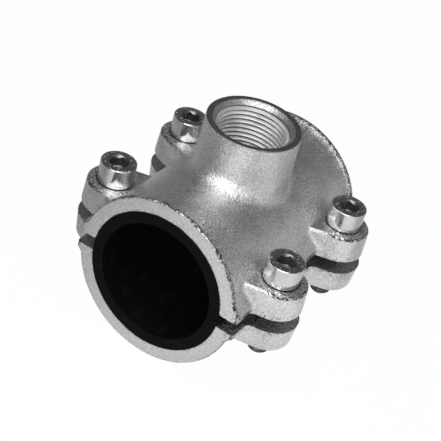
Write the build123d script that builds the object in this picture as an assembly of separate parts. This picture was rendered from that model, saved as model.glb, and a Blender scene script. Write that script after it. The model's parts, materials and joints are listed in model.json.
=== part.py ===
from build123d import *
import math
import os

# Branch outlet clamp for a steel pipe: two cast half shells closed by four cap screws round a
# rubber sleeve, with a threaded outlet standing on the upper half.
# The run lies along Y, the outlet points up along Z, and the origin is where their axes cross.

# Run
run_bore_radius = 21.8
sleeve_wall = 4.3
shell_wall = 3.9
run_length = 87.2

# Gap between the parting faces, which the slack sleeve holds open until the screws are tightened
parting_gap = 4.6

# Tongue of the sleeve in the right-hand gap, where it is slit to go round a pipe
tongue_reach = 1.9
tongue_level = 1.4
tongue_clearance = 0.3
slit_width = 0.3
slit_angle = 20.0
port_lip = 0.3

# Raised rims round both ends of the shell
rim_height = 1.2
rim_width = 1.6
rim_slope = 70.0
rim_round = 0.6
end_round = 0.7

# Flanges along the parting faces, sloping back up to the shell
flange_projection = 2.8
flange_slope = 45.0
upper_flange_depth = 3.2
lower_flange_depth = 1.8
flange_round = 1.6
flange_corner_round = 1.5
flange_blend = 4.0
seat_lip_round = 1.6
parting_edge_round = 0.8

# Screws
screw_radius = 4.0
screw_stand_out = 7.2
screw_point_chamfer = 1.3
head_radius = 6.5
head_height = 8.0
head_edge_chamfer = 0.5
head_foot_chamfer = 0.3
hex_across_flats = 6.0
hex_depth = 4.0
hex_mouth_chamfer = 0.3
drill_point_angle = 118.0
screw_spacing = 46.0

# Lugs that carry the screws
seat_margin = 3.3
head_to_shell = 0.1
upper_lug_height = 10.5
lower_lug_height = 9.7
upper_lug_draft = 3.0
lower_lug_draft = 5.0
lug_flare_outward = 14.0
lug_flare_inward = 20.0
upper_lug_edge_round = 1.2
lower_lug_edge_round = 1.8
lug_root_fillet = 2.2
screw_hole_clearance = 0.5
tapped_hole_clearance = 0.02

# Outlet, bored to the outside diameter of its thread
outlet_height = 47.0
outlet_thread_radius = 13.22
outlet_mouth_wall = 2.0
outlet_rim_radius = 16.9
outlet_draft = 2.0
outlet_root_fillet = 5.0
outlet_rim_chamfer = 0.3

# Worked out from the sizes above
half_gap = parting_gap / 2
half_length = run_length / 2
seat_radius = run_bore_radius + sleeve_wall
shell_radius = seat_radius + shell_wall
rim_radius = shell_radius + rim_height
flange_reach = shell_radius + flange_projection
screw_y = screw_spacing / 2
screw_seat_z = half_gap + upper_lug_height
screw_length = upper_lug_height + parting_gap + lower_lug_height + screw_stand_out
screw_hole_radius = screw_radius + screw_hole_clearance
tapped_hole_radius = screw_radius + tapped_hole_clearance
lug_radius = head_radius + seat_margin
outlet_mouth_radius = outlet_rim_radius - outlet_mouth_wall
port_radius = outlet_thread_radius - port_lip
upward = (Align.CENTER, Align.CENTER, Align.MIN)
downward = (Align.CENTER, Align.CENTER, Align.MAX)
cut_margin = 1.0
same_place = 0.001


def half_chord(radius, height):
    """Half width of a circle about the run axis at a height above it."""
    return math.sqrt(radius**2 - height**2)


def fillet_run(radius, height):
    """How far a fillet between a level face and the shell reaches out from the shell."""
    lean = math.asin(height / shell_radius)
    return radius * math.tan((math.pi / 2 - lean) / 2)


screw_x = (
    half_chord(shell_radius, screw_seat_z)
    + fillet_run(lug_root_fillet, screw_seat_z)
    + head_to_shell
    + head_radius
)


def along_run(radius):
    """Solid bar about the run axis, longer than the fitting."""
    bar = Cylinder(radius, run_length + 2 * cut_margin)
    return Rot(90, 0, 0) * bar


def half_space():
    """Block that holds all that lies above the parting face."""
    side = 4 * flange_reach
    return Pos(0, 0, half_gap) * Box(side, 2 * run_length, side, align=upward)


def on_shell(vertex):
    """Whether a corner of the cross section lies on the outside of the shell."""
    return abs(math.hypot(vertex.X, vertex.Y) - shell_radius) < same_place


def section(flange_depth):
    """Cross section of a half shell before it is bored, with a flange at its foot."""
    shoulder = half_gap + flange_depth
    slope = math.radians(flange_slope)
    depth_in = flange_reach * math.sin(slope) + shoulder * math.cos(slope)
    inside = Vector(depth_in * math.sin(slope), depth_in * math.cos(slope))
    corners = [(flange_reach, half_gap), (flange_reach, shoulder), (inside.X, inside.Y)]
    mirrored = [(-x, y) for x, y in reversed(corners)]
    foot = make_face(Polyline(*corners, *mirrored, close=True))
    sheet = 4 * flange_reach
    below = Pos(0, half_gap) * Rectangle(sheet, sheet, align=(Align.CENTER, Align.MAX))
    outline = Circle(shell_radius) - below + foot
    creases = outline.vertices().filter_by(lambda vertex: on_shell(vertex) and vertex.Y > shoulder)
    outline = fillet(creases, flange_blend)
    shoulders = outline.vertices().filter_by(lambda vertex: abs(vertex.Y - shoulder) < same_place)
    return fillet(shoulders, min(flange_round, flange_depth / 2))


def flange_corners():
    """Frame that takes the upright corners of the flanges down to a round."""
    side = 4 * flange_reach
    plan = RectangleRounded(2 * flange_reach, run_length, flange_corner_round)
    return Pos(0, 0, half_gap) * extrude(Rectangle(side, side) - plan, amount=side)


def half_bar(flange_depth):
    """Solid half shell with its flange, rounded where its outline meets the end faces."""
    bar = extrude(Plane.XZ * section(flange_depth), amount=half_length, both=True)
    ends = bar.edges().filter_by(lambda edge: abs(abs(edge.center().Y) - half_length) < same_place)
    outline = ends.filter_by(lambda edge: edge.center().Z > half_gap + end_round / 2)
    return fillet(outline, end_round) - flange_corners()


def rim(flange_depth):
    """Raised rim round one end of the shell, sloping back down to it."""
    buried = shell_wall / 2
    slope_run = (rim_height + buried) / math.tan(math.radians(rim_slope))
    profile = Polyline(
        (shell_radius - buried, half_length),
        (rim_radius, half_length),
        (rim_radius, half_length - rim_width),
        (shell_radius - buried, half_length - rim_width - slope_run),
        close=True,
    )
    face = make_face(profile)
    crown = face.vertices().group_by(Axis.X)[-1].sort_by(Axis.Y)[-1]
    ring = revolve(fillet(crown, rim_round), Axis.Y, 360)
    return ring & Pos(0, 0, flange_depth / 2) * half_space()


def lug(height, draft, edge_round):
    """One lug: round about its screw, with sides that flare back into the shell."""
    radius = lug_radius + height * math.tan(math.radians(draft))
    root_x = half_chord(seat_radius, half_gap + height)
    out = math.radians(lug_flare_outward)
    back = math.radians(lug_flare_inward)
    outward = Vector(screw_x + radius * math.sin(out), screw_y + radius * math.cos(out))
    inward = Vector(screw_x + radius * math.sin(back), screw_y - radius * math.cos(back))
    outward_root = Vector(root_x, outward.Y + (outward.X - root_x) * math.tan(out))
    inward_root = Vector(root_x, inward.Y - (inward.X - root_x) * math.tan(back))
    nose = Vector(screw_x + radius, screw_y)
    outline = [
        Line(inward_root, inward),
        ThreePointArc(inward, nose, outward),
        Line(outward, outward_root),
        Line(outward_root, inward_root),
    ]
    plan = Pos(0, 0, half_gap) * make_face(outline)
    block = extrude(plan, amount=height, taper=draft)
    top = block.edges().group_by(Axis.Z)[-1]
    crown = top.sort_by(Axis.X)[1:]
    return fillet(crown, edge_round)


def four_ways(piece):
    """The piece and its mirror images at the other three corners."""
    pair = [piece, mirror(piece, Plane.YZ)]
    return pair + [mirror(one, Plane.XZ) for one in pair]


def outlet_boss():
    """Slightly tapered stem of the outlet, standing in the shell."""
    foot_z = half_chord(shell_radius, outlet_rim_radius) / 2
    height = outlet_height - foot_z
    foot_radius = outlet_rim_radius + height * math.tan(math.radians(outlet_draft))
    stem = Cone(foot_radius, outlet_rim_radius, height, align=upward)
    stem = chamfer(stem.edges().group_by(Axis.Z)[-1], outlet_rim_chamfer)
    return Pos(0, 0, foot_z) * stem


def outlet_bore():
    """Bore of the outlet from its chamfered mouth down into the run."""
    mouth_depth = outlet_mouth_radius - outlet_thread_radius
    bottom = run_bore_radius / 2
    bore = Cylinder(outlet_thread_radius, outlet_height - bottom + cut_margin, align=upward)
    mouth = Cone(outlet_thread_radius, outlet_mouth_radius, mouth_depth, align=upward)
    return Pos(0, 0, bottom) * bore + Pos(0, 0, outlet_height - mouth_depth) * mouth


def blended(body, pieces, radius):
    """Body joined with pieces of one kind and filleted along the seams."""
    joined = body
    for piece in pieces:
        joined = joined + piece
    seams = new_edges(body, *pieces, combined=joined)
    open_seams = seams.filter_by(lambda edge: edge.bounding_box().max.Z > half_gap + radius / 2)
    return joined.fillet(radius, open_seams)


def half_casting(flange_depth, lug_height, lug_draft, lug_edge_round, stem=None):
    """One half of the casting above the parting face, before it is bored for the sleeve."""
    body = half_bar(flange_depth)
    if stem is not None:
        body = blended(body, [stem], outlet_root_fillet)
    body = blended(body, four_ways(lug(lug_height, lug_draft, lug_edge_round)), lug_root_fillet)
    near_rim = rim(flange_depth)
    return body + near_rim + mirror(near_rim, Plane.XZ)


def round_parting_edge(body):
    """The half with the edge round the outside of its parting face taken off."""
    outline = body.faces().sort_by(Axis.Z)[0].edges()
    return body.fillet(parting_edge_round, outline)


def flared_seat():
    """Bar that cuts the seat of the sleeve with rounded lips at the parting face."""
    side = 4 * flange_reach
    metal = Pos(0, half_gap) * Rectangle(side, side, align=(Align.CENTER, Align.MIN))
    metal = metal - Circle(seat_radius)
    lips = metal.vertices().filter_by(lambda vertex: math.hypot(vertex.X, vertex.Y) < shell_radius)
    opening = Circle(seat_radius + seat_lip_round) - fillet(lips, seat_lip_round)
    return extrude(Plane.XZ * opening, amount=half_length + cut_margin, both=True)


def screw_holes(radius, lug_height):
    """Bars that cut the four screw holes through the lugs of one half."""
    depth = half_gap + lug_height + cut_margin
    return four_ways(Pos(screw_x, screw_y, 0) * Cylinder(radius, depth, align=upward))


def upper_casting():
    """Upper half: shell, lugs with clearance holes, and the outlet."""
    body = half_casting(
        upper_flange_depth, upper_lug_height, upper_lug_draft, upper_lug_edge_round, outlet_boss()
    )
    body = round_parting_edge(body) - flared_seat() - outlet_bore()
    for hole in screw_holes(screw_hole_radius, upper_lug_height):
        body = body - hole
    return body


def lower_casting():
    """Lower half: shell and lugs tapped for the screws."""
    body = half_casting(lower_flange_depth, lower_lug_height, lower_lug_draft, lower_lug_edge_round)
    body = body - along_run(seat_radius)
    for hole in screw_holes(tapped_hole_radius, lower_lug_height):
        body = body - hole
    return mirror(body, Plane.XY)


def sleeve_tongue():
    """Ridge of the sleeve that fills the mouth of the right-hand gap."""
    edge_z = half_gap - tongue_clearance
    root_x = half_chord(seat_radius, edge_z)
    corners = [(root_x, -edge_z), (seat_radius + tongue_reach, tongue_level), (root_x, edge_z)]
    buried = (run_bore_radius + sleeve_wall / 2, 0)
    face = make_face(Polyline(*corners, buried, close=True))
    return extrude(Plane.XZ * face, amount=half_length, both=True)


def sleeve_slit():
    """Slanting cut through the wall of the sleeve behind its tongue."""
    reach = 2 * (sleeve_wall + tongue_reach)
    blade = Box(reach, run_length + 2 * cut_margin, slit_width)
    return Pos(seat_radius, 0, 0) * Rot(0, -slit_angle, 0) * blade


def sleeve_gasket():
    """Rubber sleeve, ported under the outlet and slit along the right-hand gap."""
    tube = Cylinder(seat_radius, run_length) - Cylinder(run_bore_radius, run_length)
    port = Cylinder(port_radius, 2 * seat_radius, align=upward)
    return Rot(90, 0, 0) * tube + sleeve_tongue() - sleeve_slit() - port


def hex_socket():
    """Hexagon socket of a screw head, chamfered at its mouth and drilled to a point."""
    hexagon = RegularPolygon(hex_across_flats / 2, 6, major_radius=False)
    corner_radius = hex_across_flats / math.sqrt(3)
    mouth_radius = corner_radius + hex_mouth_chamfer
    mouth_depth = mouth_radius - hex_across_flats / 2
    point_depth = hex_across_flats / 2 / math.tan(math.radians(drill_point_angle / 2))
    recess = extrude(hexagon, amount=-hex_depth)
    recess += Cone(hex_across_flats / 2, mouth_radius, mouth_depth, align=downward)
    return recess + Pos(0, 0, -hex_depth) * Cone(0, hex_across_flats / 2, point_depth, align=downward)


def cap_screw():
    """Socket head cap screw with the underside of its head at the origin."""
    head = Cylinder(head_radius, head_height, align=upward)
    head = chamfer(head.edges().group_by(Axis.Z)[-1], head_edge_chamfer)
    head = chamfer(head.edges().group_by(Axis.Z)[0], head_foot_chamfer)
    shank = Cylinder(screw_radius, screw_length, align=downward)
    shank = chamfer(shank.edges().group_by(Axis.Z)[0], screw_point_chamfer)
    return head + shank - Pos(0, 0, head_height) * hex_socket()


def main():
    os.makedirs("parts", exist_ok=True)
    nodes = {
        "upper_casting": upper_casting(),
        "lower_casting": lower_casting(),
        "sleeve_gasket": sleeve_gasket(),
    }
    for side, sign_x in (("left", -1), ("right", 1)):
        for end, sign_y in (("front", -1), ("back", 1)):
            place = Pos(sign_x * screw_x, sign_y * screw_y, screw_seat_z)
            nodes[f"screw_{end}_{side}"] = place * cap_screw()
    for name, piece in nodes.items():
        export_step(piece, f"parts/{name}.step")


main()
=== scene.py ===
import json
import math

import bmesh
import bpy
from bpy.props import FloatProperty, FloatVectorProperty, PointerProperty
from mathutils import Matrix, Vector


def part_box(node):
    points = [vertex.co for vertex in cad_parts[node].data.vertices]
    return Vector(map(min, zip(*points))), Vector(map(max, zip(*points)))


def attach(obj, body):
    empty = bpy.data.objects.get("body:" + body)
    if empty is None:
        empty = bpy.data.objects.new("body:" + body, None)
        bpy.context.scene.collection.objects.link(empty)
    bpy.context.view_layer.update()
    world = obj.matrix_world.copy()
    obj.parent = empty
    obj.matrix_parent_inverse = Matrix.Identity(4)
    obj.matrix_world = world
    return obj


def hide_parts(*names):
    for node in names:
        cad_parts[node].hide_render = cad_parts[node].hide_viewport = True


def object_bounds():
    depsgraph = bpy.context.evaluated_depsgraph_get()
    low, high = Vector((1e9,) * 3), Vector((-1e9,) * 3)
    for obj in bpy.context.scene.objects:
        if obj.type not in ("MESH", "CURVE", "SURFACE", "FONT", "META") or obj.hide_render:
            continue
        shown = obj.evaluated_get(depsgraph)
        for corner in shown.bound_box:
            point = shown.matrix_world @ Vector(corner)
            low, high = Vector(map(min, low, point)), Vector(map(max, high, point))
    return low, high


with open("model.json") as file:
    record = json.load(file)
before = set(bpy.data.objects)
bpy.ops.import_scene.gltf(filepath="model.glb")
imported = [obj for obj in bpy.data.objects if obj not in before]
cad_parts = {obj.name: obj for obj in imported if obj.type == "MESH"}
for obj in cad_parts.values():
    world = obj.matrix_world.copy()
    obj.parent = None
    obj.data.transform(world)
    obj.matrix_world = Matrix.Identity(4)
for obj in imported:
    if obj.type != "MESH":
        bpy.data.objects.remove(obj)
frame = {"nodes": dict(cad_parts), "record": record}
CAD_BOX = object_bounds()

bl_info = {
    "name": "Branch Outlet Fitting",
    "version": (1, 0, 0),
    "blender": (4, 5, 0),
    "location": "3D View > Sidebar > Fitting",
    "description": "Dresses a branch outlet fitting: threads, screws, cast skin, sleeve and studio",
    "category": "Object",
}

MM = 0.001
FULL_TURN = 2 * math.pi
BLACK = (0.0, 0.0, 0.0, 1.0)
WHITE = (1.0, 1.0, 1.0, 1.0)

CASTINGS = ("upper_casting", "lower_casting")
SCREWS = ("screw_front_left", "screw_front_right", "screw_back_left", "screw_back_right")

# Angle of each screw's socket in degrees, as the screws stopped
SCREW_TURNS = (12.0, 8.0, 40.0, 25.0)

# Profile of a thread: radius of its crests and roots as a share of the pitch, and half the degrees
# of arc that each of them turns through
THREAD_ROUND = 0.137
THREAD_ARC = 62.5

# Steps in a full turn, and in the arcs of the profile, of each turned piece
OUTLET_STEPS, OUTLET_ARC_STEPS = 144, 4
SCREW_STEPS, SCREW_ARC_STEPS = 72, 2
HEAD_STEPS, HEAD_ARC_STEPS = 96, 6
FLOOR_STEPS = 96

# Edges that turn less than this are shaded smooth, and rays that look for an edge near a point
SMOOTH_ANGLE = math.radians(32)
EDGE_SAMPLES = 6

# Distance in metres within which vertices are one: on a finished piece, along the seam of a spun
# thread, which is less exact, and at the plane that cuts a thread to length
SAME_PLACE = 1e-7
SAME_PLACE_AT_SEAM = 1e-6
SAME_PLACE_AT_CUT = 1e-8

# How far the bottoms of the outlet's thread stand inside its bore, how far the crests of a screw's
# thread stand inside its shank, and how far that thread reaches up into the shank
GROOVE_INSET = 0.01 * MM
CREST_INSET = 0.03 * MM
SHANK_OVERLAP = 0.3 * MM

# Camera of the photograph: its place in metres, its turn in degrees and its lens in millimetres
CAMERA_PLACE = Vector((0.13841, -0.33233, 0.26338))
CAMERA_TURN = Vector((52.983, -13.518, 32.854))
CAMERA_LENS = 100.14
CAMERA_SENSOR = 36.0

# Middle of the soft light above the camera, and of the one behind it
KEY_LIGHT_PLACE = (0.05, -0.2, 0.455)
FRONT_LIGHT_PLACE = (0.118, -0.512, 0.329)

# Ways from the fitting to the brightest part of the floor and of the room
FLOOR_FRONT = Vector((0.38, -0.92))
ROOM_FRONT = Vector((0.66, -0.75))


def mount(name):
    """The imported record's mount of that name."""
    return next(row for row in frame["record"]["mounts"] if row["name"] == name)


RUN_RADIUS = mount("run_bore")["dims"]["r_mm"] * MM
OUTLET_RADIUS = mount("outlet_thread")["dims"]["r_mm"] * MM
OUTLET_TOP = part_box("upper_casting")[1].z
HALF_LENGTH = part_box("upper_casting")[1].y
FLOOR_LEVEL = CAD_BOX[0].z
SCREW_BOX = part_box("screw_back_right")
SCREW_MIDDLE = (SCREW_BOX[0] + SCREW_BOX[1]) / 2
HEAD_TOP = SCREW_BOX[1].z
HEAD_RADIUS = (SCREW_BOX[1].x - SCREW_BOX[0].x) / 2

# Places on the castings that their finish follows
SHELL_RADIUS = RUN_RADIUS + 8.2 * MM
MOUTH_RADIUS = OUTLET_RADIUS + 1.72 * MM
END_RIM = 2.4 * MM
HALF_GAP = 2.3 * MM
LUG_START = 28.5 * MM


def length(name, description, default):
    """Property that holds a size in metres."""
    return FloatProperty(
        name=name,
        description=description,
        default=default,
        min=0,
        precision=5,
        subtype="DISTANCE",
        unit="LENGTH",
    )


def share(name, description, default):
    """Property that holds a share from 0 to 1."""
    return FloatProperty(
        name=name, description=description, default=default, min=0, max=1, subtype="FACTOR"
    )


def power(name, description, default):
    """Property that holds the power of a lamp in watts."""
    return FloatProperty(name=name, description=description, default=default, min=0, unit="POWER")


def colour(name, description, grey):
    """Property that holds a colour, grey by default as all the metal and rubber here is."""
    return FloatVectorProperty(
        name=name,
        description=description,
        default=(grey, grey, grey),
        size=3,
        min=0,
        max=1,
        subtype="COLOR",
    )


class CastingSettings(bpy.types.PropertyGroup):
    plate: colour("Zinc plate", "Colour of the bright plate on the cast skin", 0.86)
    # Also the colour of the painted shade on the end faces and on the thread's chamfered top
    dull_and_shade: colour("Dull patches", "Colour of the plate where it is thin or stained", 0.46)
    # Also the colour of the painted shade and shadow on the castings and in the thread's grooves
    pit_and_shade: colour("Pits", "Colour at the bottom of pits and grooves", 0.07)
    thread: colour("Thread", "Colour of the plate on the outlet's thread", 0.76)
    skin_roughness: share("Skin roughness", "Roughness of the cast skin", 0.29)
    cut_roughness: share("Cut roughness", "Roughness of the machined faces", 0.36)
    thread_roughness: share("Thread roughness", "Roughness of the outlet's thread", 0.5)
    grain: length("Grain", "Width of the bumps of the cast skin", 0.7 * MM)
    grain_depth: length("Grain depth", "Height of the bumps of the cast skin", 0.36 * MM)
    ripple: length("Ripple", "Width of the slow waves in the cast skin", 5.5 * MM)
    ripple_depth: length("Ripple depth", "Height of the slow waves in the cast skin", 0.15 * MM)
    cloud: length("Cloud", "Width of the stains in the plate", 11 * MM)
    patch: length("Patch", "Length of the rough stretches along worn edges", 3.2 * MM)
    fleck: length("Fleck", "Width of the flecks and pits", 0.9 * MM)
    speck: length("Speck", "Width of the finest speckle", 0.5 * MM)
    tool_line: length("Tool line", "Width of the lines that the cutter left", 0.45 * MM)
    thread_cloud: length("Thread cloud", "Width of the stains on the thread", 6 * MM)
    thread_depth: length("Thread grain depth", "Height of the grain of the thread", 0.006 * MM)
    edge_round: length("Edge round", "Radius that softens the edges of the castings", 0.25 * MM)
    worn_edge: length("Worn edge", "How far the pits spread from the castings' edges", 0.9 * MM)
    head_height: length("Head height", "Height of the screws' heads over the upper lugs", 8.0 * MM)


class OutletSettings(bpy.types.PropertyGroup):
    pitch: length("Pitch", "Distance from turn to turn of the outlet's thread", 1.814 * MM)
    crest_radius: length("Crest radius", "Radius of the outlet at its thread's crests", 12.06 * MM)
    reach: length("Threaded depth", "How far down the outlet its thread runs", 18.0 * MM)
    run_out: length("Run-out", "Height over which the last turns fade into the wall", 1.6 * MM)
    mouth_wall: length("Mouth wall", "Width of the rim round the chamfered mouth", 2.0 * MM)
    rim_radius: length("Rim radius", "Radius of the outlet's rim", 16.9 * MM)


class ScrewSettings(bpy.types.PropertyGroup):
    plate: colour("Screw plate", "Colour of the bright plate on the screws", 0.66)
    worn: colour("Worn plate", "Colour of the screws where the plate is thin", 0.42)
    # Colour of the painted shade in the sockets and the painted shadow at the heads' feet, and of
    # the dark shanks, nicks and marks
    grime_and_shade: colour("Grime", "Colour in the sockets, under the heads and at the points", 0.1)
    roughness: share("Roughness", "Roughness of the plated screws", 0.17)
    cloud: length("Cloud", "Width of the dull patches on the screws", 3.5 * MM)
    fleck: length("Fleck", "Width of the flecks on the screws", 0.7 * MM)
    drawn_line: length("Drawn line", "Width of the lines along a head's side", 0.35 * MM)
    drawn_depth: length("Drawn depth", "Depth of the lines along a head's side", 0.002 * MM)
    turned_line: length("Turned line", "Width of the rings on a head's top", 0.5 * MM)
    wave: length("Wave", "Width of the slow waves in the plate", 2.2 * MM)
    wave_depth: length("Wave depth", "Height of the slow waves in the plate", 0.02 * MM)
    dent: length("Dent", "Width of the dents in a head's top", 1.1 * MM)
    dent_depth: length("Dent depth", "Depth of the dents in a head's top", 0.16 * MM)
    edge_soft: length("Soft edge", "Radius that softens the edges of the screws", 0.2 * MM)
    head_height: length("Head height", "Height of a screw's head", 8.0 * MM)
    edge_round: length("Edge round", "Round of the upper edge of a head", 0.42 * MM)
    foot_chamfer: length("Foot chamfer", "Chamfer of the lower edge of a head", 0.3 * MM)
    shank_radius: length("Shank radius", "Radius of the plain part under a head", 4.0 * MM)
    plain: length("Plain length", "Length of the plain part under a head", 4.0 * MM)
    pitch: length("Pitch", "Distance from turn to turn of a screw's thread", 1.25 * MM)
    root_radius: length("Root radius", "Radius of a screw between its turns", 3.36 * MM)
    point_chamfer: length("Point chamfer", "Chamfer of a screw's point", 1.3 * MM)
    across_flats: length("Across flats", "Width of the hexagon socket", 6.0 * MM)
    socket_depth: length("Socket depth", "Depth of the hexagon socket", 4.0 * MM)
    mouth_chamfer: length("Mouth chamfer", "Width of the chamfer at the socket's mouth", 0.3 * MM)
    drill_depth: length("Drill point", "Depth of the drilled point under the socket", 1.8 * MM)


class SleeveSettings(bpy.types.PropertyGroup):
    rubber: colour("Rubber", "Colour of the rubber", 0.0025)
    bloom: colour("Bloom", "Colour of the rubber where it is scuffed", 0.006)
    roughness: share("Roughness", "Roughness of the rubber", 0.62)
    scuff: length("Scuff", "Width of the scuffed patches", 4 * MM)
    grain: length("Grain", "Width of the grain of the rubber", 0.5 * MM)
    grain_depth: length("Grain depth", "Height of the grain of the rubber", 0.01 * MM)


class StageSettings(bpy.types.PropertyGroup):
    floor: colour("Floor", "Colour of the floor", 0.9)
    floor_radius: length("Floor radius", "Radius of the round floor", 3.0)
    whiteness: share("Whiteness", "How far the floor is lifted to plain white for the camera", 0.97)
    # Share of the painted pool of light and shadow in what reflections see of the floor
    mirrored: share("Mirrored floor", "How far reflections show the floor evenly lit", 0.9)
    near_side: share("Near side", "Brightness of the floor in reflections towards the camera", 1.0)
    far_side: share("Far side", "Brightness of the floor in reflections on the far left", 0.26)
    key_power: power("Key light", "Power of the soft light above the camera", 2.05)
    key_width: length("Key light width", "Width of the soft light above the camera", 0.38)
    key_height: length("Key light height", "Height of the soft light above the camera", 0.46)
    front_power: power("Front light", "Power of the soft light behind the camera", 1.15)
    front_width: length("Front light width", "Width of the soft light behind the camera", 0.42)
    front_height: length("Front light height", "Height of the soft light behind the camera", 0.24)
    horizon: share("Horizon", "Brightness of the room at the height of the floor", 0.31)
    ceiling: share("Ceiling", "Brightness of the room overhead", 0.09)
    slant: share("Slant", "How much brighter the room is on the right than in the middle", 0.5)
    front_glow: share("Front glow", "How much brighter the room is low on the camera's side", 0.8)


class Signal:
    """Output of a shader node. Arithmetic on it adds Math nodes."""

    def __init__(self, sheet, socket):
        self.sheet = sheet
        self.socket = socket

    def combine(self, operation, *others):
        inputs = dict(enumerate((self, *others)))
        return self.sheet.add("ShaderNodeMath", {"operation": operation}, inputs)

    def __add__(self, other):
        return self.combine("ADD", other)

    __radd__ = __add__

    def __mul__(self, other):
        return self.combine("MULTIPLY", other)

    __rmul__ = __mul__

    def __sub__(self, other):
        return self.combine("SUBTRACT", other)

    def __rsub__(self, other):
        return (self * -1) + other

    def __truediv__(self, other):
        return self.combine("DIVIDE", other)

    def __pow__(self, other):
        return self.combine("POWER", other)

    def __abs__(self):
        return self.combine("ABSOLUTE")

    def ramp(self, low, high):
        """0 below low and 1 above high, with a smooth rise between them."""
        settings = {"interpolation_type": "SMOOTHSTEP"}
        inputs = {"Value": self, "From Min": low, "From Max": high}
        return self.sheet.add("ShaderNodeMapRange", settings, inputs)

    def at_most(self, limit):
        return self.combine("MINIMUM", limit)

    def at_least(self, limit):
        return self.combine("MAXIMUM", limit)


class Sheet:
    """Node tree of a material, lamp or world, with one method that adds a node."""

    def __init__(self, owner):
        owner.use_nodes = True
        self.tree = owner.node_tree
        self.tree.nodes.clear()

    def add(self, kind, settings=None, inputs=None, output=0):
        """Adds a node, sets its settings and then its sockets, and gives one of its outputs."""
        node = self.tree.nodes.new(kind)
        for name, value in (settings or {}).items():
            setattr(node, name, value)
        for name, value in (inputs or {}).items():
            if isinstance(value, Signal):
                self.tree.links.new(value.socket, node.inputs[name])
            else:
                node.inputs[name].default_value = value
        return Signal(self, node.outputs[output]) if node.outputs else node

    def components(self, vector):
        """The three components of a vector."""
        inputs = {"Vector": vector}
        return [self.add("ShaderNodeSeparateXYZ", None, inputs, output=axis) for axis in "XYZ"]

    def place(self):
        """Position on the object as a vector."""
        return self.add("ShaderNodeTexCoord", output="Object")

    def vector(self, **components):
        """Vector of components named X, Y and Z, 0 where one isn't given."""
        return self.add("ShaderNodeCombineXYZ", None, components)

    def noise(self, vector, size, detail=2.0, rough=0.5):
        """Smooth noise whose lumps are about that size in metres."""
        inputs = {"Vector": vector, "Scale": 1 / size, "Detail": detail, "Roughness": rough}
        return self.add("ShaderNodeTexNoise", None, inputs, output="Fac")

    def mix(self, factor, low, high):
        """Colour between two colours."""
        inputs = {0: factor, 6: low, 7: high}
        return self.add("ShaderNodeMix", {"data_type": "RGBA"}, inputs, output=2)

    def edges(self, radius):
        """1 along edges that turn within a radius and 0 on open faces, and the softened normal."""
        soft = self.add("ShaderNodeBevel", {"samples": EDGE_SAMPLES}, {"Radius": radius})
        normal = self.add("ShaderNodeNewGeometry", output="Normal")
        inputs = {0: soft, 1: normal}
        facing = self.add("ShaderNodeVectorMath", {"operation": "DOT_PRODUCT"}, inputs, "Value")
        return 1 - facing, soft

    def bump(self, height, depth, normal=None):
        """Normal of a surface with bumps of that depth in metres."""
        inputs = {"Height": height, "Distance": depth, "Strength": 1.0}
        if normal is not None:
            inputs["Normal"] = normal
        return self.add("ShaderNodeBump", None, inputs)

    def surface(self, **sockets):
        """Principled surface as the output. Underscores stand for spaces in socket names."""
        inputs = {name.replace("_", " "): value for name, value in sockets.items()}
        shader = self.add("ShaderNodeBsdfPrincipled", None, inputs)
        self.add("ShaderNodeOutputMaterial", None, {"Surface": shader})


def opaque(rgb):
    """Colour property as the four numbers that a colour socket holds."""
    return (*rgb, 1.0)


def distance(a, b):
    """Length of the vector with those two components."""
    return (a * a + b * b) ** 0.5


def new_sheet(name):
    """New material of that name and its node tree."""
    material = bpy.data.materials.new(name)
    return material, Sheet(material)


def from_screw(x, y):
    """Distance of a place from the axis of the nearest screw."""
    return distance(abs(x) - SCREW_MIDDLE.x, abs(y) - SCREW_MIDDLE.y)


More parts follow.
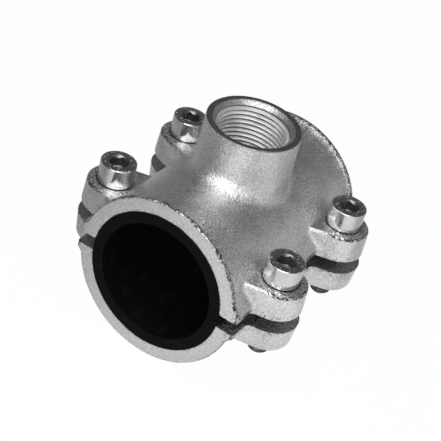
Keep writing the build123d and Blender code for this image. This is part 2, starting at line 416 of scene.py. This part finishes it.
def cast_zinc(settings):
    """Bright zinc plate over a fine cast skin, with machined faces and rough, pitted edges."""
    material, sheet = new_sheet("cast_zinc")
    place = sheet.place()
    x, y, z = sheet.components(place)
    from_run = distance(x, z)
    from_outlet = distance(x, y)

    end_face = abs(y).ramp(HALF_LENGTH - 0.12 * MM, HALF_LENGTH - 0.02 * MM)
    mouth_rim = z.ramp(OUTLET_TOP - 0.35 * MM, OUTLET_TOP - 0.2 * MM)
    bored = z.ramp(RUN_RADIUS, RUN_RADIUS + 2 * MM) * (1 - mouth_rim)
    mouth = (1 - from_outlet.ramp(MOUTH_RADIUS, MOUTH_RADIUS + 0.06 * MM)) * bored
    cut = (end_face + mouth_rim + mouth).at_most(1.0)

    grain = sheet.noise(place, settings.grain, 3.0, 0.6)
    ripple = sheet.noise(place, settings.ripple, 2.0)
    cloud = sheet.noise(place, settings.cloud, 3.0, 0.55)
    fleck = sheet.noise(place, settings.fleck, 2.0, 0.65)
    speck = sheet.noise(place, settings.speck, 1.0)
    patchy = sheet.noise(place, settings.patch, 1.0).ramp(0.3, 0.6)
    turning = sheet.noise(sheet.vector(X=from_run, Y=y), settings.tool_line, 2.0, 0.7)
    boring = sheet.noise(sheet.vector(X=from_outlet, Z=z), settings.tool_line, 2.0, 0.7)
    lines = turning * end_face + boring * (1 - end_face)
    edge, soft = sheet.edges(settings.edge_round)
    worn = sheet.edges(settings.worn_edge)[0].ramp(0.004, 0.09)

    # Rims at the ends, lugs and parting faces
    rim_side = from_run.ramp(SHELL_RADIUS + 0.2 * MM, SHELL_RADIUS + 0.8 * MM) * (1 - end_face)
    rim_side = rim_side * abs(y).ramp(HALF_LENGTH - END_RIM, HALF_LENGTH - END_RIM + 1 * MM)
    seat = HEAD_TOP - settings.head_height
    on_seat = z.ramp(seat - 0.08 * MM, seat - 0.02 * MM)
    screw = from_screw(x, y)
    lug = abs(x).ramp(LUG_START, LUG_START + 2 * MM)
    outer_lug = lug * (abs(x).ramp(LUG_START + 4 * MM, LUG_START + 9.5 * MM) * 0.8 + 0.2)
    # Painted shadow in a thin ring round each screw head on the lug top
    seat_shadow = 1 - screw.ramp(HEAD_RADIUS + 0.1 * MM, HEAD_RADIUS + 0.6 * MM)
    seat_shadow = seat_shadow * z.ramp(seat - 0.5 * MM, seat - 0.1 * MM)
    lug_edge = outer_lug * z.ramp(seat - 1.1 * MM, seat - 0.9 * MM) * (1 - on_seat)
    far_from_head = screw.ramp(HEAD_RADIUS + 1 * MM, HEAD_RADIUS + 3.5 * MM)
    lug_top = outer_lug * on_seat * (1 - far_from_head * 0.6)
    parting = 1 - abs(z).ramp(HALF_GAP - 0.1 * MM, HALF_GAP + 3.7 * MM)
    parting = parting * from_run.ramp(RUN_RADIUS + 5 * MM, RUN_RADIUS + 6 * MM)
    # Faces in the gap between the castings, darkened with painted shade
    gap_shade = 1 - abs(z).ramp(HALF_GAP + 0.02 * MM, HALF_GAP + 0.15 * MM)

    # Pits, and painted shade on the edges, rim crowns, upper lug edges, mouth chamfer and gap faces
    rough_edge = edge.ramp(0.02, 0.2) * 0.6 + (worn * 0.9 + rim_side) * patchy
    rough_edge = (rough_edge + lug_edge * 0.9 + lug_top * 0.7).at_most(1.0)
    pits = rough_edge * fleck.ramp(0.46, 0.58)
    pits = pits.at_least(parting * fleck.ramp(0.56, 0.68) * 0.7)
    painted_shade = edge.ramp(0.02, 0.15) * 0.35 + rim_side * 0.25 + lug_edge * 0.25
    painted_shade = painted_shade + mouth * (speck.ramp(0.4, 0.65) * 0.24 + 0.32) + gap_shade * 0.35
    # Real pits, with painted shade, the painted shadow round the heads and painted shade on the
    # outlet's rim top
    grime_and_shade = (pits + painted_shade + seat_shadow * 0.9 + mouth_rim * 0.7).at_most(1.0)

    # Stains and speckle, with painted shade that darkens the end faces all over
    stain_and_shade = cloud.ramp(0.42, 0.72) * 0.4 * (1 - cut) + end_face * 0.36
    speckle = speck.ramp(0.25, 0.75) * (0.8 - cut * 0.3) + (fleck - 0.5) * 0.6
    shade = (stain_and_shade + speckle + (lines - 0.5) * cut * 0.7).at_most(1.0).at_least(0.0)

    base = sheet.mix(shade, opaque(settings.plate), opaque(settings.dull_and_shade))
    base = sheet.mix(grime_and_shade, base, opaque(settings.pit_and_shade))
    cast_rough = settings.skin_roughness + (grain - 0.5) * 0.2 + (cloud - 0.5) * 0.12
    cut_rough = settings.cut_roughness + (fleck - 0.5) * 0.1
    rough = cast_rough * (1 - cut) + cut_rough * cut
    rough = rough + (grime_and_shade - mouth * 0.1 - mouth_rim * 0.7) * 0.25
    skin = sheet.bump(ripple, settings.ripple_depth, soft)
    height = grain * (1 - cut * 0.8 + mouth * 0.3) * (1 - lug * 0.5) + lines * cut * 0.12
    skin = sheet.bump(height - pits * 2.0, settings.grain_depth, skin)
    sheet.surface(Base_Color=base, Metallic=1.0, Roughness=rough, Normal=skin)
    return material


def cut_zinc(settings):
    """Bright zinc plate over a thread cut in the casting, with grime and painted shade at the
    bottom of its grooves.
    """
    material, sheet = new_sheet("cut_zinc")
    place = sheet.place()
    x, y, z = sheet.components(place)
    grain = sheet.noise(place, settings.speck, 3.0, 0.6)
    cloud = sheet.noise(place, settings.thread_cloud, 2.0)
    # Bottoms of the grooves, darkened with grime and painted shade
    groove_dirt_and_shade = distance(x, y).ramp(OUTLET_RADIUS - 0.2 * MM, OUTLET_RADIUS - 0.07 * MM)
    # Chamfered top of the thread, darkened with painted shade
    lead_in = z.ramp(OUTLET_TOP - 2.9 * MM, OUTLET_TOP - 2.6 * MM)
    stain_and_shade = (cloud.ramp(0.4, 0.7) * 0.7 + lead_in).at_most(1.0)
    base = sheet.mix(stain_and_shade, opaque(settings.thread), opaque(settings.dull_and_shade))
    base = sheet.mix(grain.ramp(0.5, 0.75) * 0.3, base, opaque(settings.pit_and_shade))
    base = sheet.mix(groove_dirt_and_shade * 0.95, base, opaque(settings.pit_and_shade))
    rough = settings.thread_roughness + (grain - 0.5) * 0.15
    skin = sheet.bump(grain, settings.thread_depth)
    sheet.surface(Base_Color=base, Metallic=0.4, Roughness=rough, Normal=skin)
    return material


def plated_steel(settings):
    """Bright plated steel of the screws, with the fine lines of drawing along their sides."""
    material, sheet = new_sheet("plated_steel")
    place = sheet.place()
    x, y, z = sheet.components(place)
    stretched = sheet.add("ShaderNodeMapping", None, {"Vector": place, "Scale": (1.0, 1.0, 0.12)})
    lines = sheet.noise(stretched, settings.drawn_line, 2.0)
    cloud = sheet.noise(place, settings.cloud, 3.0, 0.6)
    fleck = sheet.noise(place, settings.fleck, 2.0, 0.6)
    edge, soft = sheet.edges(settings.edge_soft)

    # Painted shade in the socket and on its chamfer, and a painted shadow line at the foot of the
    # head, with the shank and point below it dark too
    flat = settings.across_flats / 2
    seat = HEAD_TOP - settings.head_height
    reach = from_screw(x, y)
    hollow = 1 - reach.ramp(flat * 1.24, flat * 1.28)
    chamfer = z.ramp(HEAD_TOP - 0.9 * MM, HEAD_TOP - 0.4 * MM)
    socket = hollow * (0.74 + chamfer * 0.11 - fleck.ramp(0.55, 0.62) * (1 - chamfer) * 0.25)
    foot = 1 - z.ramp(seat + 0.25 * MM, seat + 0.45 * MM)

    # Turned rings and dents in the top of the head
    top = z.ramp(HEAD_TOP - 0.12 * MM, HEAD_TOP - 0.03 * MM)
    turned = sheet.noise(sheet.vector(X=reach), settings.turned_line, 2.0, 0.6)
    inner = (1 - reach.ramp(4.3 * MM, 5.2 * MM)) * top
    dents = sheet.noise(place, settings.dent, 1.0).ramp(0.62, 0.7) * top

    base = sheet.mix(cloud.ramp(0.45, 0.75) * 0.35, opaque(settings.plate), opaque(settings.worn))
    face = inner * 0.1 + top * (turned.ramp(0.4, 0.65) * 0.12 + fleck.ramp(0.45, 0.7) * 0.05)
    base = sheet.mix(face, base, opaque(settings.grime_and_shade))
    nicks = edge.ramp(0.05, 0.3) * fleck.ramp(0.5, 0.65) * 0.6
    base = sheet.mix(nicks, base, opaque(settings.grime_and_shade))
    # Painted shade in the sockets, then painted shadow at the heads' feet and the dark shank below
    base = sheet.mix(socket, base, opaque(settings.grime_and_shade))
    base = sheet.mix(foot * 0.9, base, opaque(settings.grime_and_shade))
    rough = settings.roughness + (cloud - 0.5) * 0.12 + (lines - 0.5) * 0.06
    rough = rough + socket * 0.2 + foot * 0.2
    skin = sheet.bump(sheet.noise(place, settings.wave, 2.0), settings.wave_depth, soft)
    skin = sheet.bump(lines, settings.drawn_depth, skin)
    skin = sheet.bump(dents, settings.dent_depth, skin)
    sheet.surface(Base_Color=base, Metallic=1.0, Roughness=rough, Normal=skin)
    return material


def black_rubber(settings):
    """Matt black moulded rubber, a little scuffed."""
    material, sheet = new_sheet("black_rubber")
    place = sheet.place()
    scuff = sheet.noise(place, settings.scuff, 4.0, 0.6)
    grain = sheet.noise(place, settings.grain, 2.0)
    base = sheet.mix(scuff.ramp(0.5, 0.75), opaque(settings.rubber), opaque(settings.bloom))
    rough = settings.roughness + (scuff - 0.5) * 0.15
    skin = sheet.bump(grain, settings.grain_depth)
    sheet.surface(Base_Color=base, Roughness=rough, Specular_IOR_Level=0.05, Normal=skin)
    return material


def shown(name, mesh, material):
    """Object of a finished bmesh that rides on the fitting, smooth except along its sharp edges."""
    bmesh.ops.remove_doubles(mesh, verts=mesh.verts, dist=SAME_PLACE)
    bmesh.ops.recalc_face_normals(mesh, faces=mesh.faces)
    for face in mesh.faces:
        face.smooth = True
    for edge in mesh.edges:
        edge.smooth = edge.calc_face_angle(math.pi) < SMOOTH_ANGLE
    data = bpy.data.meshes.new(name)
    mesh.to_mesh(data)
    mesh.free()
    data.materials.append(material)
    piece = bpy.data.objects.new(name, data)
    bpy.context.scene.collection.objects.link(piece)
    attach(piece, "root")
    return piece


def spun(mesh, points, steps, rise=0.0):
    """Chain of (radius, height) points, spun once round the upright axis and rising as it turns."""
    verts = [mesh.verts.new((radius, 0, height)) for radius, height in points]
    edges = [mesh.edges.new(pair) for pair in zip(verts, verts[1:])]
    bmesh.ops.spin(
        mesh,
        geom=verts + edges,
        cent=(0, 0, 0),
        axis=(0, 0, 1),
        dvec=(0, 0, rise / steps),
        angle=FULL_TURN,
        steps=steps,
        use_merge=rise == 0,
    )


def circle_points(centre, radius, start, end, count):
    """Points of an arc in the plane of the profile, from one angle to another in degrees."""
    angles = [math.radians(start + (end - start) * index / count) for index in range(count + 1)]
    return [(centre[0] + radius * math.cos(a), centre[1] + radius * math.sin(a)) for a in angles]


def thread_wall(bottom, top, low_radius, high_radius, pitch, steps, arc_steps):
    """Wall with a rounded right-hand thread from one level to another, as an open bmesh."""
    first = math.floor(bottom / pitch) - 2
    turns = math.ceil(top / pitch) + 1 - first
    rounding = THREAD_ROUND * pitch
    crest, root = (low_radius + rounding, 0), (high_radius - rounding, pitch / 2)
    turn = circle_points(crest, rounding, 180 + THREAD_ARC, 180 - THREAD_ARC, arc_steps)
    turn += circle_points(root, rounding, -THREAD_ARC, THREAD_ARC, arc_steps)
    levels = [(first + index) * pitch for index in range(turns)]
    points = [(radius, height + level) for level in levels for radius, height in turn]
    mesh = bmesh.new()
    spun(mesh, points, steps, rise=pitch)
    bmesh.ops.remove_doubles(mesh, verts=mesh.verts, dist=SAME_PLACE_AT_SEAM)
    for level, up in ((top, 1), (bottom, -1)):
        geom = mesh.verts[:] + mesh.edges[:] + mesh.faces[:]
        bmesh.ops.bisect_plane(
            mesh,
            geom=geom,
            dist=SAME_PLACE_AT_CUT,
            plane_co=(0, 0, level),
            plane_no=(0, 0, up),
            clear_outer=True,
        )
    return mesh


def extruded(mesh, rim):
    """New vertices and edges of a rim of edges that is extruded in place."""
    grown = bmesh.ops.extrude_edge_only(mesh, edges=rim)["geom"]
    verts = [item for item in grown if isinstance(item, bmesh.types.BMVert)]
    edges = [item for item in grown if isinstance(item, bmesh.types.BMEdge)]
    return verts, edges


def move_radius(mesh, limit):
    """Moves each vertex in or out to the radius that a function of its radius and height gives."""
    for vert in mesh.verts:
        radius = math.hypot(vert.co.x, vert.co.y)
        factor = limit(radius, vert.co.z) / radius
        vert.co.x *= factor
        vert.co.y *= factor


def outlet_thread(settings):
    """Ring of thread that lines the outlet from its chamfered mouth down, closed at the bore."""
    wall = OUTLET_RADIUS - GROOVE_INSET
    mouth_radius = settings.rim_radius - settings.mouth_wall
    top = OUTLET_TOP - (mouth_radius - wall)
    bottom = top - settings.reach
    mesh = thread_wall(
        bottom, top, settings.crest_radius, wall, settings.pitch, OUTLET_STEPS, OUTLET_ARC_STEPS
    )

    def cut(radius, height):
        chamfer = mouth_radius - (OUTLET_TOP - height)
        fade = wall - (height - bottom) / settings.run_out * (wall - settings.crest_radius)
        return min(wall, max(radius, chamfer, fade))

    move_radius(mesh, cut)
    verts, edges = extruded(mesh, [edge for edge in mesh.edges if edge.is_boundary])
    outward = OUTLET_RADIUS / wall
    bmesh.ops.scale(mesh, vec=(outward, outward, 1), verts=verts)
    bmesh.ops.bridge_loops(mesh, edges=edges)
    return mesh


def hexagon_reach(angle, half_width):
    """Distance from the middle of a hexagon to its side at an angle."""
    sector = math.pi / 3
    return half_width / math.cos((angle + sector / 2) % sector - sector / 2)


def next_ring(mesh, rim, place):
    """Extrudes a closed rim of edges to the radius and height that a function of angle gives."""
    verts, edges = extruded(mesh, rim)
    for vert in verts:
        angle = math.atan2(vert.co.y, vert.co.x)
        radius, height = place(angle)
        vert.co = (radius * math.cos(angle), radius * math.sin(angle), height)
    return edges


def screw_head(settings, radius):
    """Head and plain shank of a screw, with its seat at height 0."""
    top = settings.head_height
    round_radius = settings.edge_round
    flat = settings.across_flats / 2
    mouth = 2 * flat / math.sqrt(3) + settings.mouth_chamfer
    join = -settings.plain
    relief = 0.4 * MM
    profile = [(0, join), (settings.shank_radius, join), (settings.shank_radius, -relief)]
    profile += [(settings.shank_radius + relief, 0), (radius - settings.foot_chamfer, 0)]
    profile += [(radius, settings.foot_chamfer)]
    corner = (radius - round_radius, top - round_radius)
    profile += circle_points(corner, round_radius, 0, 90, HEAD_ARC_STEPS)
    profile += [(mouth, top)]
    mesh = bmesh.new()
    spun(mesh, profile, HEAD_STEPS)
    bmesh.ops.remove_doubles(mesh, verts=mesh.verts, dist=SAME_PLACE)

    def side(angle):
        return hexagon_reach(angle, flat)

    floor = top - settings.socket_depth
    drill_radius = flat * 0.98

    # Down the chamfer to the hexagon, down its sides, in to the drilled point, and down to its tip
    rim = [edge for edge in mesh.edges if edge.is_boundary]
    rim = next_ring(mesh, rim, lambda angle: (side(angle), top - mouth + side(angle)))
    rim = next_ring(mesh, rim, lambda angle: (side(angle), floor))
    rim = next_ring(mesh, rim, lambda angle: (drill_radius, floor))
    next_ring(mesh, rim, lambda angle: (0, floor - settings.drill_depth))
    return mesh


def screw_thread(settings, bottom):
    """Threaded end of a screw, from inside its plain shank down to its chamfered point."""
    top = -settings.plain + SHANK_OVERLAP
    crest = settings.shank_radius - CREST_INSET
    mesh = thread_wall(
        bottom, top, settings.root_radius, crest, settings.pitch, SCREW_STEPS, SCREW_ARC_STEPS
    )
    start = bottom + settings.point_chamfer
    shank = settings.shank_radius
    move_radius(mesh, lambda radius, height: min(radius, shank - max(0, start - height)))
    bmesh.ops.holes_fill(mesh, edges=[edge for edge in mesh.edges if edge.is_boundary])
    return mesh


def joined(first, second):
    """One bmesh with the geometry of two."""
    data = bpy.data.meshes.new("joined")
    second.to_mesh(data)
    first.from_mesh(data)
    bpy.data.meshes.remove(data)
    second.free()
    return first


class FITTING_OT_castings(bpy.types.Operator):
    """Give both castings their plated cast skin"""

    bl_idname = "fitting.castings"
    bl_label = "Castings"

    def execute(self, context):
        material = cast_zinc(context.scene.fitting_castings)
        for name in CASTINGS:
            node = frame["nodes"][name]
            node.data.materials.clear()
            node.data.materials.append(material)
        return {"FINISHED"}


class FITTING_OT_outlet_thread(bpy.types.Operator):
    """Line the outlet with its thread"""

    bl_idname = "fitting.outlet_thread"
    bl_label = "Outlet thread"

    def execute(self, context):
        scene = context.scene
        mesh = outlet_thread(scene.fitting_outlet)
        shown("outlet_thread", mesh, cut_zinc(scene.fitting_castings))
        return {"FINISHED"}


class FITTING_OT_screws(bpy.types.Operator):
    """Build the cap screws with their sockets and threads"""

    bl_idname = "fitting.screws"
    bl_label = "Screws"

    def execute(self, context):
        settings = context.scene.fitting_screws
        material = plated_steel(settings)
        for node, degrees in zip(SCREWS, SCREW_TURNS):
            low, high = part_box(node)
            middle = (low + high) / 2
            seat = high.z - settings.head_height
            head = screw_head(settings, (high.x - low.x) / 2)
            mesh = joined(head, screw_thread(settings, low.z - seat))
            turn = Matrix.Rotation(math.radians(degrees), 4, "Z")
            place = Matrix.Translation((middle.x, middle.y, seat))
            bmesh.ops.transform(mesh, matrix=place @ turn, verts=mesh.verts)
            piece = shown(node.replace("screw", "cap_screw"), mesh, material)
            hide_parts(node)
        return {"FINISHED"}


class FITTING_OT_sleeve(bpy.types.Operator):
    """Give the sleeve its black rubber"""

    bl_idname = "fitting.sleeve"
    bl_label = "Sleeve"

    def execute(self, context):
        node = frame["nodes"]["sleeve_gasket"]
        node.data.materials.clear()
        node.data.materials.append(black_rubber(context.scene.fitting_sleeve))
        return {"FINISHED"}


def soft_light(name, place, size, watts):
    """Oblong soft light of a width and height at a place, facing the fitting."""
    data = bpy.data.lights.new(name, "AREA")
    data.shape = "RECTANGLE"
    data.size, data.size_y = size
    data.energy = watts
    light = bpy.data.objects.new(name, data)
    light.location = place
    light.rotation_euler = (-Vector(place)).to_track_quat("-Z", "Y").to_euler()
    bpy.context.scene.collection.objects.link(light)


def white_floor(settings):
    """Pale floor that the camera sees as plain white outside the fitting's shadow, and that
    reflections see with a painted pool of light and a painted shadow.
    """
    material, sheet = new_sheet("white_floor")
    lit = sheet.add("ShaderNodeBsdfDiffuse", None, {"Color": opaque(settings.floor)})
    plain = sheet.add("ShaderNodeEmission", None, {"Color": WHITE, "Strength": 1.0})
    dark = sheet.add("ShaderNodeEmission", None, {"Color": BLACK, "Strength": 1.0})

    # Painted light that reflections see on the floor: a pool of light in front and painted shadow
    # round and under the fitting
    x, y, _ = sheet.components(sheet.place())
    toward = (x * FLOOR_FRONT.x + y * FLOOR_FRONT.y).at_least(0.0)
    across = (y * FLOOR_FRONT.x - x * FLOOR_FRONT.y) / (toward + 0.08)
    near = across.ramp(-0.97, -0.12) * (1 - across.ramp(0.55, 1.5) * 0.75)
    side = (y.ramp(-0.1, -0.02) * 0.35 + 1) * settings.far_side
    # Painted shadow close round the fitting
    contact_shadow = distance(x, y).ramp(0.05, 0.11) * 0.2 + 0.8
    shade = (near * (settings.near_side - side) + side) * contact_shadow
    painted_floor_light = sheet.add("ShaderNodeMixShader", None, {0: shade, 1: dark, 2: plain})

    seen = sheet.add("ShaderNodeLightPath", output="Is Camera Ray") * settings.whiteness
    mirrored = sheet.add("ShaderNodeLightPath", output="Is Glossy Ray") * settings.mirrored
    both = sheet.add("ShaderNodeMixShader", None, {0: mirrored, 1: lit, 2: painted_floor_light})
    both = sheet.add("ShaderNodeMixShader", None, {0: seen, 1: both, 2: plain})
    sheet.add("ShaderNodeOutputMaterial", None, {"Surface": both})
    return material


def surroundings(settings):
    """Room that is darker overhead than at the horizon, and plain white to the camera."""
    world = bpy.data.worlds.new("studio")
    bpy.context.scene.world = world
    sheet = Sheet(world)
    x, y, z = sheet.components(sheet.add("ShaderNodeTexCoord", output="Generated"))

    # Brightness of the room by the way that one looks
    height = z.ramp(0.0, 0.6)
    right = x.at_least(0.0) ** 3
    front = (x * ROOM_FRONT.x + y * ROOM_FRONT.y).ramp(0.45, 1.0) * (1 - z.ramp(0.05, 0.4))
    room = settings.horizon + height * (settings.ceiling - settings.horizon)
    room = room + right * settings.slant + front * settings.front_glow
    seen = sheet.add("ShaderNodeLightPath", output="Is Camera Ray")
    strength = seen + room * (1 - seen)
    white = sheet.add("ShaderNodeBackground", None, {"Color": WHITE, "Strength": strength})
    sheet.add("ShaderNodeOutputWorld", None, {"Surface": white})


class FITTING_OT_stage(bpy.types.Operator):
    """Set up the floor, the soft lights and the camera"""

    bl_idname = "fitting.stage"
    bl_label = "Stage"

    def execute(self, context):
        scene = context.scene
        settings = scene.fitting_stage
        mesh = bmesh.new()
        bmesh.ops.create_circle(
            mesh, cap_ends=True, segments=FLOOR_STEPS, radius=settings.floor_radius
        )
        bmesh.ops.translate(mesh, vec=(0, 0, FLOOR_LEVEL), verts=mesh.verts)
        data = bpy.data.meshes.new("floor")
        mesh.to_mesh(data)
        mesh.free()
        data.materials.append(white_floor(settings))
        floor = bpy.data.objects.new("floor", data)
        scene.collection.objects.link(floor)

        key_size = (settings.key_width, settings.key_height)
        front_size = (settings.front_width, settings.front_height)
        soft_light("key_light", KEY_LIGHT_PLACE, key_size, settings.key_power)
        soft_light("front_light", FRONT_LIGHT_PLACE, front_size, settings.front_power)
        surroundings(settings)

        lens = bpy.data.cameras.new("camera")
        lens.lens = CAMERA_LENS
        lens.sensor_width = CAMERA_SENSOR
        lens.clip_start = 0.01
        camera = bpy.data.objects.new("camera", lens)
        camera.location = CAMERA_PLACE
        camera.rotation_euler = [math.radians(turn) for turn in CAMERA_TURN]
        scene.collection.objects.link(camera)
        scene.camera = camera
        scene.view_settings.view_transform = "Standard"
        return {"FINISHED"}


OPERATORS = (
    FITTING_OT_castings,
    FITTING_OT_outlet_thread,
    FITTING_OT_screws,
    FITTING_OT_sleeve,
    FITTING_OT_stage,
)


class FITTING_PT_panel(bpy.types.Panel):
    """Lists the steps that dress the fitting"""

    bl_label = "Branch Outlet Fitting"
    bl_idname = "FITTING_PT_panel"
    bl_space_type = "VIEW_3D"
    bl_region_type = "UI"
    bl_category = "Fitting"

    def draw(self, context):
        for operator in OPERATORS:
            self.layout.operator(operator.bl_idname)
        for name, group in SETTINGS.items():
            box = self.layout.box()
            for key in group.__annotations__:
                box.prop(getattr(context.scene, name), key)


SETTINGS = {
    "fitting_castings": CastingSettings,
    "fitting_outlet": OutletSettings,
    "fitting_screws": ScrewSettings,
    "fitting_sleeve": SleeveSettings,
    "fitting_stage": StageSettings,
}


def register():
    for group in SETTINGS.values():
        bpy.utils.register_class(group)
    for name, group in SETTINGS.items():
        setattr(bpy.types.Scene, name, PointerProperty(type=group))
    for cls in (*OPERATORS, FITTING_PT_panel):
        bpy.utils.register_class(cls)


def unregister():
    for cls in (FITTING_PT_panel, *reversed(OPERATORS)):
        bpy.utils.unregister_class(cls)
    for name, group in SETTINGS.items():
        delattr(bpy.types.Scene, name)
        bpy.utils.unregister_class(group)


def main():
    register()
    bpy.ops.fitting.castings()
    bpy.ops.fitting.outlet_thread()
    bpy.ops.fitting.screws()
    bpy.ops.fitting.sleeve()
    bpy.ops.fitting.stage()


if __name__ == "__main__":
    main()
